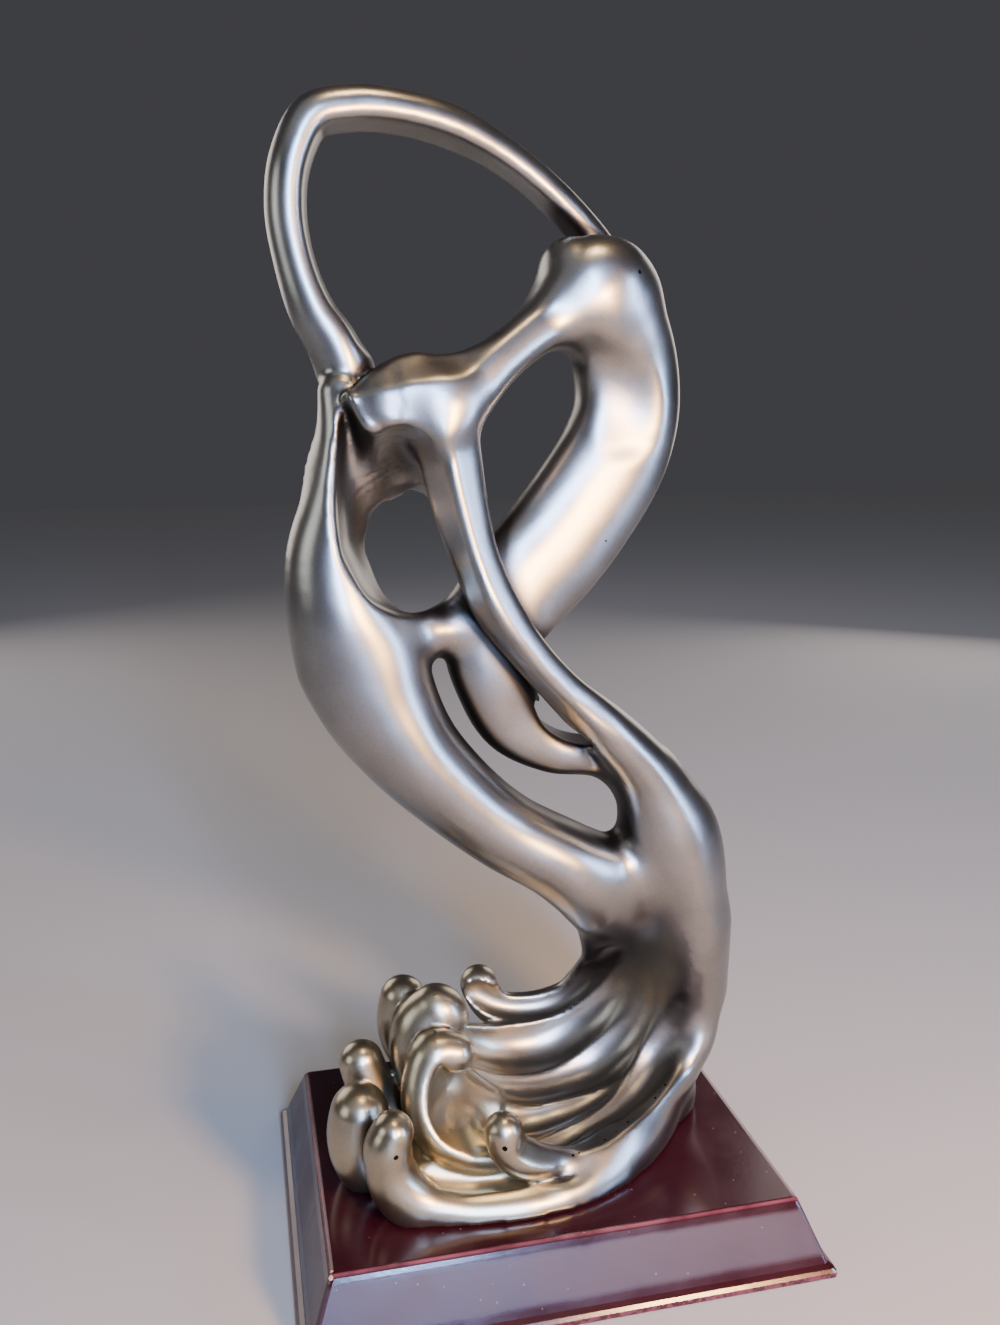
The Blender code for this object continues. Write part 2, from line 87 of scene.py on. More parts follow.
def add_node(tree: bpy.types.NodeTree, kind: str, inputs: Sequence[Any] | dict[Any, Any] = (),
             output: int | str = 0, **settings: Any) -> Socket:
    """Add one shader node with its settings and links.

    Args:
        tree: the material's node tree.
        kind: the node's type, without the ShaderNode before it.
        inputs: values or sockets for the node's inputs, in order or by name or place.
        output: name or place of the output that is wanted.
        settings: the node's own properties.

    Returns:
        The output's socket.
    """
    node = tree.nodes.new(f"ShaderNode{kind}")
    for name, value in settings.items():
        setattr(node, name, value)
    for key, value in (inputs.items() if isinstance(inputs, dict) else enumerate(inputs)):
        if isinstance(value, Socket):
            tree.links.new(value, node.inputs[key])
        else:
            node.inputs[key].default_value = value
    return node.outputs[output]


def melt_in(one: Points, two: Points, soft: Points | float) -> Points:
    """Join two distance fields with a fillet.

    Args:
        one: first signed distances.
        two: second signed distances.
        soft: width of the fillet.

    Returns:
        Signed distances of the joined shape.
    """
    lap = np.maximum(soft - np.abs(one - two), 0.0)
    return np.minimum(one, two) - lap * lap / (4.0 * soft)


def pare(one: Points, two: Points, soft: Points | float) -> Points:
    """Keep what lies in both shapes, with the edge between them eased.

    Args:
        one: first signed distances.
        two: second signed distances.
        soft: width of the easing.

    Returns:
        Signed distances of the shape in common.
    """
    return -melt_in(-one, -two, soft)


def neighbours_mean(points: Points, starts: Points, ends: Points) -> Points:
    """Average each point's neighbours in a net.

    Args:
        points: the net's points.
        starts: the point at one end of each edge.
        ends: the point at the other end.

    Returns:
        The middle of each point's neighbours.
    """
    size = len(points)
    degree = np.maximum(np.bincount(starts, minlength=size) + np.bincount(ends, minlength=size), 1)
    return np.stack([(np.bincount(starts, points[ends, k], size)
                      + np.bincount(ends, points[starts, k], size)) / degree for k in range(3)], axis=1)


# ---- the casting's form ----

class Depth(Enum):
    """The axis that a limb's thickness is measured along."""

    FRONT_TO_BACK = (0.0, 1.0, 0.0)
    UPRIGHT = (0.0, 0.0, 1.0)
    SIDEWAYS = (1.0, 0.0, 0.0)


@dataclass(frozen=True)
class Face:
    """A flat dressed along a limb, with an arris where it meets the round."""

    turn: float  # direction it faces, degrees in the section
    reach: float  # share of the section's own reach that is left
    first: float = 0.0  # station where the flat starts
    last: float = 99.0  # station where it ends
    ease: float = 1.6  # width of the arris
    fade: float = 1.6  # stations over which the flat dies away


@dataclass(frozen=True)
class Limb:
    """A row of sections along a smooth line: x, y, z, half width, half thickness."""

    name: str
    stations: tuple[Station, ...]
    melt: float | tuple[float, ...] = 4.0  # fillet at each station; the last one holds to the end
    depth: Depth = Depth.FRONT_TO_BACK
    corner: float = 2.0
    faces: tuple[Face, ...] = ()
    hollow: bool = False
    joins: float = 0.0  # fillet with the hollow before it; nought starts a new cut


class LimbField:
    """Signed distance to one limb."""

    SPACING = 1.5  # between samples of the line
    MARGIN = 6.0  # measured this far past the skin and its fillet
    NEAREST, FARTHEST = -40.0, 60.0  # distances are held between these
    BATCH = 120000  # places measured at once
    RELEASED = 1.3  # share of the reach at which a flat takes nothing off
    LEAST_HALF, LEAST_FILLET = 0.2, 0.05

    def __init__(self, limb: Limb) -> None:
        """Sample the limb's line and sections.

        Args:
            limb: the limb to measure from.
        """
        self.limb = limb
        rows = np.array([row[:5] for row in limb.stations], float)
        melts = limb.melt if isinstance(limb.melt, tuple) else (limb.melt,) * len(rows)
        melts = (melts + (melts[-1],) * len(rows))[:len(rows)]
        rows = np.c_[rows, np.array(melts, float), np.arange(len(rows))]
        keys = np.r_[0.0, np.cumsum(np.linalg.norm(np.diff(rows[:, :3], axis=0), axis=1))]
        count = max(8, int(keys[-1] / self.SPACING))
        full = self.smooth(rows, keys, np.linspace(0.0, keys[-1], count))
        self.centre = full[:, :3]
        self.half = np.maximum(full[:, 3:5], self.LEAST_HALF)
        self.soft = np.maximum(full[:, 5], self.LEAST_FILLET)
        self.station = full[:, 6]
        way = np.gradient(self.centre, axis=0)
        self.pitch = np.linalg.norm(way, axis=1)
        self.way = way / self.pitch[:, None]
        axis = np.array(limb.depth.value)
        back = axis - (self.way @ axis)[:, None] * self.way
        self.back = back / np.linalg.norm(back, axis=1)[:, None]
        self.side = np.cross(self.back, self.way)
        span = self.half.max(axis=1) + self.soft + self.MARGIN
        self.low = (self.centre - span[:, None]).min(axis=0)
        self.high = (self.centre + span[:, None]).max(axis=0)

    @staticmethod
    def smooth(rows: Points, keys: Points, at: Points) -> Points:
        """Read a smooth curve through rows of numbers.

        Args:
            rows: the numbers at each key.
            keys: distance along the line of each row.
            at: distances to read at.

        Returns:
            One row of numbers for each distance.
        """
        rises = np.diff(rows, axis=0) / np.diff(keys)[:, None]
        steps = np.diff(keys)
        slopes = np.empty_like(rows)
        slopes[1:-1] = ((rises[:-1] * steps[1:, None] + rises[1:] * steps[:-1, None])
                        / (steps[1:] + steps[:-1])[:, None])
        slopes[0] = 1.5 * rises[0] - 0.5 * slopes[1] if len(rows) > 2 else rises[0]
        slopes[-1] = 1.5 * rises[-1] - 0.5 * slopes[-2] if len(rows) > 2 else rises[-1]
        i = np.clip(np.searchsorted(keys, at, side="right") - 1, 0, len(keys) - 2)
        span = (keys[i + 1] - keys[i])[:, None]
        t = (at[:, None] - keys[i][:, None]) / span
        return ((2 * t**3 - 3 * t**2 + 1) * rows[i] + (t**3 - 2 * t**2 + t) * span * slopes[i]
                + (3 * t**2 - 2 * t**3) * rows[i + 1] + (t**3 - t**2) * span * slopes[i + 1])

    def reach(self, points: Points) -> tuple[Points, Points]:
        """Measure from the limb's skin.

        Args:
            points: places, one a row.

        Returns:
            Signed distances, and the fillet width at the nearest section.
        """
        out = np.empty(len(points))
        soft = np.empty(len(points))
        for start in range(0, len(points), self.BATCH):
            part = slice(start, start + self.BATCH)
            out[part], soft[part] = self.measure(points[part])
        return out, soft

    def measure(self, points: Points) -> tuple[Points, Points]:
        """Measure one batch of places.

        Args:
            points: places, one a row.

        Returns:
            Signed distances, and the fillet width at the nearest section.
        """
        centre, last = self.centre, len(self.centre) - 1
        near = ((centre**2).sum(axis=1)[None, :] - 2 * points @ centre.T).argmin(axis=1)
        ahead = ((points - centre[near]) * self.way[near]).sum(axis=1) / self.pitch[near]
        place = np.clip(near + np.clip(ahead, -1.0, 1.0), 0, last)
        low = np.minimum(place.astype(int), last - 1)
        share = (place - low)[:, None]

        def read(rows: Points) -> Points:
            """Interpolate rows of the line at each place."""
            return rows[low] * (1 - share) + rows[low + 1] * share

        gap = points - read(centre)
        u = (gap * read(self.side)).sum(axis=1)
        v = (gap * read(self.back)).sum(axis=1)
        t = (gap * read(self.way)).sum(axis=1)
        half = read(self.half)
        wide, thick = half[:, 0], half[:, 1]
        at_end = (place <= 0) | (place >= last)
        cap = np.minimum(wide, thick)
        power = self.limb.corner
        eu, ev = np.abs(u / wide) + 1e-6, np.abs(v / thick) + 1e-6
        et = np.where(at_end, np.abs(t / cap), 0.0)
        total = eu**power + ev**power + et**2
        root = max(1.0, power)
        slope = np.sqrt((power * eu**(power - 1) / wide)**2 + (power * ev**(power - 1) / thick)**2
                        + np.where(at_end, 2 * et / cap, 0.0)**2) * total**(1 / root - 1) / root
        out = np.clip((total**(1 / root) - 1) / np.maximum(slope, 1e-3), self.NEAREST, self.FARTHEST)
        if self.limb.faces:
            at = read(self.station[:, None])[:, 0]
            for face in self.limb.faces:
                turn = math.radians(face.turn)
                across, along = math.cos(turn), math.sin(turn)
                whole = np.sqrt((wide * across)**2 + (thick * along)**2)
                fade = np.clip(np.maximum(face.first - at, at - face.last) / face.fade, 0.0, 1.0)
                keep = face.reach + (self.RELEASED - face.reach) * fade * fade * (3 - 2 * fade)
                out = pare(out, u * across + v * along - keep * whole, face.ease)
        return out, read(self.soft[:, None])[:, 0]


@dataclass
class Casting:
    """The figure: limbs melted into one skin, modelled as a field and then meshed.

    Its hollows, arrises and fillets run into each other, which edit-mode strokes on a
    primitive can't give, so the skin is worked out from named limbs and laid as a mesh.
    """

    name: str = "figure_skin"
    cell: float = 1.34  # mesh spacing
    low: Station = (-90.0, -60.0, 21.0)
    high: Station = (90.0, 54.0, 392.0)
    outside: float = 30.0  # distance taken where no limb is near
    uncut: float = 60.0  # the same where no hollow is
    block: int = 4  # cells across a block measured once
    near_skin: float = 8.0  # blocks this near are measured cell by cell
    sole_band: float = 0.6  # net this near the sole isn't drawn to the skin
    sole_snap: float = 0.5  # and this near, it lies on the sole
    pulls: tuple[float, ...] = (0.5, 0.35, 0.0)  # one for each settling pass
    recess_reach: tuple[Station, ...] = ((4.0, 0.3), (11.0, 0.35), (28.0, 0.35))  # reach, weight of each reading of how enclosed the skin is, which the paint darkens as wash and painted shade
    crest_reach: float = 2.2  # how thin an edge shows as a crest
    # straight lines to smooth along, how far from each, and how many times
    eased: tuple[tuple[tuple[Station, Station], float, int], ...] = (
        (((14, 10, 88), (48, -12, 94)), 22.0, 80), (((52, -10, 80), (66, -8, 70)), 13.0, 50),
        (((-20, -24, 50), (-8, -30, 42)), 6.0, 25), (((-31, -11, 56), (-24, -14, 48)), 11.0, 60),
        (((-2, -41, 32), (6, -41, 35)), 6.0, 40))
    limbs: tuple[Limb, ...] = field(default_factory=lambda: body_limbs() + wave_limbs())

    def __post_init__(self) -> None:
        """Prepare a distance field for each limb."""
        self.fields = [LimbField(limb) for limb in self.limbs]

    def reach(self, points: Points) -> Points:
        """Signed distance from the whole casting's skin.

        Args:
            points: places, one a row.

        Returns:
            Signed distances, negative inside.
        """
        out = np.full(len(points), self.outside)
        cut, cut_soft = np.full(len(points), self.uncut), np.full(len(points), 1.0)
        for one, after in zip(self.fields, [*self.fields[1:], None]):
            inside = ((points > one.low) & (points < one.high)).all(axis=1)
            if inside.any():
                distance, soft = one.reach(points[inside])
                if not one.limb.hollow:
                    out[inside] = melt_in(out[inside], distance, soft)
                elif one.limb.joins:
                    share = np.clip(0.5 + (cut[inside] - distance) / (3.0 * one.limb.joins), 0.0, 1.0)
                    share = share * share * (3.0 - 2.0 * share)
                    cut_soft[inside] += share * (soft - cut_soft[inside])
                    cut[inside] = melt_in(cut[inside], distance, one.limb.joins)
                else:
                    cut[inside], cut_soft[inside] = distance, soft
            if one.limb.hollow and not (after is not None and after.limb.hollow and after.limb.joins):
                out = np.where(cut < self.outside, pare(out, -cut, cut_soft), out)
                cut[:], cut_soft[:] = self.uncut, 1.0
        return np.maximum(out, SOLE - points[:, 2])

    def lattice(self) -> tuple[Points, Points]:
        """Fill a lattice with distances, finely near the skin and roughly elsewhere.

        Returns:
            The lattice of distances and the place of its first corner.
        """
        low, high = np.array(self.low), np.array(self.high)
        blocks = np.ceil((high - low) / (self.block * self.cell)).astype(int)
        middle = (self.block - 1) / 2
        steps = [low[k] + self.cell * (self.block * np.arange(blocks[k]) + middle) for k in range(3)]
        centres = np.stack(np.meshgrid(*steps, indexing="ij"), axis=-1)
        rough = self.reach(centres.reshape(-1, 3)).reshape(centres.shape[:3])
        near = np.abs(rough) < self.near_skin
        for axis in range(3):
            rough = np.repeat(rough, self.block, axis=axis)
            near = np.repeat(near, self.block, axis=axis)
        index = np.stack(np.nonzero(near), axis=1)
        rough[near] = self.reach(low + index * self.cell)
        return rough, low

    def net(self, lattice: Points, low: Points) -> tuple[Points, Points]:
        """Lay a net of four-sided faces where the distances change sign.

        Args:
            lattice: distances on the lattice.
            low: place of its first corner.

        Returns:
            The net's points and its faces.
        """
        size = np.array(lattice.shape)
        inside = lattice < 0
        total = np.zeros((*(size - 1), 3))
        count = np.zeros(tuple(size - 1))
        for axis in range(3):
            one, two = [slice(None)] * 3, [slice(None)] * 3
            one[axis], two[axis] = slice(0, -1), slice(1, None)
            near, far = lattice[tuple(one)], lattice[tuple(two)]
            cross = (near < 0) != (far < 0)
            share = np.where(cross, near / np.where(cross, near - far, 1.0), 0.0)
            others = [k for k in range(3) if k != axis]
            for first in (0, 1):
                for second in (0, 1):
                    part = [slice(None)] * 3
                    part[others[0]] = slice(first, size[others[0]] - 1 + first)
                    part[others[1]] = slice(second, size[others[1]] - 1 + second)
                    hit = cross[tuple(part)]
                    count += hit
                    total[..., axis] += share[tuple(part)]
                    total[..., others[0]] += hit * first
                    total[..., others[1]] += hit * second
        has = count > 0
        number = np.full(has.shape, -1)
        number[has] = np.arange(has.sum())
        points = (np.stack(np.nonzero(has), axis=1) + total[has] / count[has][:, None]) * self.cell + low
        faces = []
        for axis in range(3):
            one, two = [slice(None)] * 3, [slice(None)] * 3
            one[axis], two[axis] = slice(0, -1), slice(1, None)
            others = [(axis + 1) % 3, (axis + 2) % 3]
            middle = [slice(None)] * 3
            middle[others[0]] = middle[others[1]] = slice(1, -1)
            cross = (inside[tuple(one)] != inside[tuple(two)])[tuple(middle)]
            offset = np.array([int(k in others) for k in range(3)])
            edges = np.stack(np.nonzero(cross), axis=1) + offset
            out = inside[tuple(one)][tuple(edges.T)]
            ring = []
            for first, second in ((1, 1), (0, 1), (0, 0), (1, 0)):
                at = edges.copy()
                at[:, others[0]] -= first
                at[:, others[1]] -= second
                ring.append(number[tuple(at.T)])
            quads = np.stack(ring, axis=1)
            faces.append(np.where(out[:, None], quads, quads[:, ::-1]))
        return points, np.concatenate(faces)

    def normals(self, points: Points, step: float = 0.3) -> Points:
        """Directions square to the skin, pointing out.

        Args:
            points: places on the skin.
            step: distance the slope is read over.

        Returns:
            Unit vectors.
        """
        slope = np.empty_like(points)
        for axis in range(3):
            shift = np.zeros(3)
            shift[axis] = step
            slope[:, axis] = self.reach(points + shift) - self.reach(points - shift)
        return slope / np.maximum(np.linalg.norm(slope, axis=1), 1e-9)[:, None]

    def settle(self, points: Points, faces: Points) -> Points:
        """Even out the net and draw its points onto the skin.

        Args:
            points: the net's points.
            faces: the net's faces.

        Returns:
            The settled points.
        """
        starts, ends = faces.ravel(), np.roll(faces, -1, axis=1).ravel()
        sole = points[:, 2] < SOLE + self.sole_band
        for pull in self.pulls:
            if pull:
                mean = neighbours_mean(points, starts, ends)
                points = np.where(sole[:, None], points, points + pull * (mean - points))
            way = self.normals(points)
            points = points - np.clip(self.reach(points), -1.0, 1.0)[:, None] * way * (~sole)[:, None]
        points[:, 2] = np.maximum(points[:, 2], SOLE)
        points[sole, 2] = np.where(points[sole, 2] < SOLE + self.sole_snap, SOLE, points[sole, 2])
        return points

    def ease(self, points: Points, faces: Points, line: tuple[Station, Station], reach: float,
             passes: int) -> Points:
        """Smooth the net near a straight line.

        Args:
            points: the net's points.
            faces: the net's faces.
            line: the line's two ends.
            reach: how far from the line the smoothing fades out.
            passes: how often each point is drawn to its neighbours.

        Returns:
            The eased points.
        """
        start, end = np.array(line[0], float), np.array(line[1], float)
        along = np.clip((points - start) @ (end - start) / ((end - start) @ (end - start)), 0.0, 1.0)
        gap = np.linalg.norm(points - start - along[:, None] * (end - start), axis=1)
        # full pull over the inner three eighths of the reach, then down to nought
        pull = 0.6 * np.clip(1.6 * (1.0 - gap / reach), 0.0, 1.0)[:, None]
        starts, ends = faces.ravel(), np.roll(faces, -1, axis=1).ravel()
        near = (pull[starts, 0] > 0) | (pull[ends, 0] > 0)
        starts, ends = starts[near], ends[near]
        for _ in range(passes):
            mean = neighbours_mean(points, starts, ends)
            points = np.where(pull > 0, points + pull * (mean - points), points)
        return points

    def build(self) -> bpy.types.Object:
        """Mesh the casting and store how hollow, how thin and how upturned its skin is.

        Returns:
            The casting's object.
        """
        points, faces = self.net(*self.lattice())
        points = self.settle(points, faces)
        for line, reach, passes in self.eased:
            points = self.ease(points, faces, line, reach, passes)
        mesh = bpy.data.meshes.new(self.name)
        mesh.from_pydata((points * MM).tolist(), [], faces.tolist())
        mesh.validate()
        mesh.shade_smooth()
        way = self.normals(points, 0.8)
        # how enclosed each point is; the paint lays a brown wash and painted shade with it
        recess = np.ones(len(points))
        for reach, weight in self.recess_reach:
            recess = recess - weight * np.clip(self.reach(points + reach * way) / reach, 0.0, 1.0)
        thin = np.clip(1.0 + self.reach(points - self.crest_reach * way) / self.crest_reach, 0.0, 1.0)
        for label, values in (("recess", recess), ("crest", thin),
                              ("facing_up", np.clip(way[:, 2], 0.0, 1.0))):
            mesh.attributes.new(label, "FLOAT", "POINT").data.foreach_set("value", values.astype(np.float32))
        thing = bpy.data.objects.new(self.name, mesh)
        bpy.context.scene.collection.objects.link(thing)
        log.info("%s: %d points, %d faces", self.name, len(points), len(faces))
        return thing


def body_limbs() -> tuple[Limb, ...]:
    """Trunk, leaning bodies, shoulder and arms, in the order they are melted and cut.

    Returns:
        The limbs above the wave.
    """
    return (
        Limb("trunk_and_left_body", (
            (-60, -5, 295, 7.5, 7), (-61, -4, 286, 7, 9.5), (-61.5, -3, 271, 9.5, 12),
            (-62.5, -3, 257, 13, 14), (-65, -3, 242, 15, 15), (-63, -3, 227, 18, 17),
            (-57, -2, 211, 22, 18), (-51, -2, 194, 20, 18), (-41, -2, 177, 17, 18), (-27, -2, 161, 15, 17),
            (-9, -2, 145, 14, 16), (13, -2, 131, 15, 17), (34, 0, 114, 20, 19), (47.5, 4, 92, 25, 18),
            (56, 10, 68, 18, 15), (56, 13, 44, 14, 16)), melt=(3, 4, 5, 6, 7, 8, 8, 7, 5, 4, 5, 8)),
        Limb("hip_bridge", ((-44, -1, 218, 12, 10), (-29, 1, 217, 9, 9), (-14, 3, 222, 10, 8)), melt=5),
        Limb("arch_wall", (
            (-58, 0, 255, 12, 10), (-54, 1, 268, 18, 11), (-45, 1, 273, 21, 12), (-34, 0, 272, 20, 11),
            (-27, -3, 258, 12, 9), (-22, -9, 246, 8, 7)), melt=5),
        Limb("shoulder", (
            (-57.5, -15, 293, 2.5, 5), (-52, -14, 293, 8, 9.5), (-45, -12.5, 292.5, 13, 12),
            (-34, -12, 292.5, 15, 12), (-23, -10, 296, 11.8, 11), (-12, -7, 303.2, 8.2, 10.5),
            (-2, -4, 310.5, 7.6, 10), (8, 0, 317.5, 8.8, 11), (19, 3, 326, 12, 12)),
            melt=(1, 1.5, 3, 4, 5, 4, 4, 5, 6), corner=2.8,
            faces=(Face(-90, 0.84, 0, 3, 1.2, 2.5), Face(-135, 0.80, 0, 3.5, 1.4, 2.5))),
        Limb("tip_face", (
            (-58, -15, 292, 3, 5), (-55.5, -14, 284, 7, 8.5), (-53, -13, 275, 9, 9), (-51, -12, 266, 9, 9)),
            melt=3, faces=(Face(-90, 0.88),)),
        Limb("arch_funnel", (
            (-43, -34, 255, 25, 34), (-43.5, -20, 252.5, 20, 29), (-42.5, -12, 249.5, 17.5, 26),
            (-40, -4, 245.5, 14.5, 22), (-37.5, 5, 241.5, 12.3, 19.3), (-37, 24, 241, 12.8, 20)),
            melt=(1.4, 1.4, 1.4, 2.5, 3.5), depth=Depth.UPRIGHT, hollow=True),
        Limb("tip_hollow", (
            (-60.6, -24, 295, 0.6, 4), (-59.8, -22, 288, 2.2, 9), (-58.3, -20, 281, 4.3, 12),
            (-56.5, -18, 272, 6.5, 14), (-53, -15, 262, 10, 15), (-49, -12, 252, 13, 16)),
            melt=(1.2, 1.8, 3, 6, 9, 10), hollow=True, joins=5.0),
        Limb("right_body", (
            (28, 4, 328, 17, 15), (34, 6, 317, 17, 15), (38, 8, 304, 18, 13), (39, 9, 289, 18.5, 12),
            (34.5, 9, 274, 19.5, 11), (25, 8, 259, 20, 10.5), (12, 6, 243, 20, 10.5), (-3, 3, 228, 19, 10),
            (-12, 2, 212, 16, 10), (-10, 2, 197, 14, 10), (-4, 3, 183, 12, 9), (10, 4, 172, 9, 9),
            (28, 3, 168, 8, 10), (44, 0, 160, 11, 13)), melt=(14, 14, 10, 6, 6, 6, 6, 6, 5, 3, 3, 3, 3, 5),
            corner=2.3, faces=(Face(150, 0.88, 2, 6, 1.2),)),
        Limb("crossing_arm", (
            (-29, -14, 290, 10, 9), (-27, -14, 272, 10, 10), (-24, -14, 257, 9, 10), (-20, -15, 242, 8, 9),
            (-14, -16, 227, 8, 9), (-4, -16, 212, 7, 8), (9, -14, 197, 7, 8), (26, -9, 181, 9, 11),
            (43, -5, 161, 12, 14), (52, -2, 139, 19, 18), (53, 0, 111, 23, 19), (57, 4, 88, 20, 17)),
            melt=(8, 5, 2, 1.6, 1.6, 2, 2.5, 4, 6, 8),
            faces=(Face(-35, 0.66, 1, 6, 2.2), Face(-115, 0.76, 1, 6, 2.2), Face(150, 0.90, 8, 10, 1.2))),
        Limb("small_gap", (
            (3.5, -3, 189.5, 1, 8), (8, -2, 183.5, 2.6, 13), (14, 0, 179.5, 3.2, 14), (22, 0, 176, 2.4, 13),
            (30, 0, 173.5, 1, 8)), melt=1.5, hollow=True),
        Limb("neck_dip", (
            (22, -10, 303, 4, 4), (28, -8.5, 298, 8, 5.5), (34, -7, 290, 9, 5), (37, -7, 279, 6, 3)),
            melt=8, hollow=True),
        Limb("head", (
            (16, 3, 336, 8, 9), (20, 3, 334, 11, 12), (27, 4, 330, 15, 14), (34, 6, 326, 15, 14)), melt=5),
        Limb("ring_arm", (
            (-58, 0.5, 302, 9.5, 9.5), (-61, 0, 310, 9, 9.5), (-67, 0, 320, 8, 9), (-72, 0, 335, 7, 8),
            (-74, 0, 351, 7, 8), (-71.5, 0, 366, 7, 8), (-65, 1, 377, 7, 8), (-53, 3, 380.5, 7, 8),
            (-38, 5, 380.5, 6.8, 8), (-21, 8, 377.5, 6.8, 8), (-4, 11, 370.5, 6, 7), (13, 14, 359.5, 6, 7),
            (28, 17, 346.5, 6, 7), (38, 17, 334, 6, 7)), melt=(1.6, 1.5, 2, 3, 3, 3, 3, 3, 3, 3, 3, 3, 1.5),
            faces=(Face(-14, 0.80, 1, 12, 1.4),)),
    )


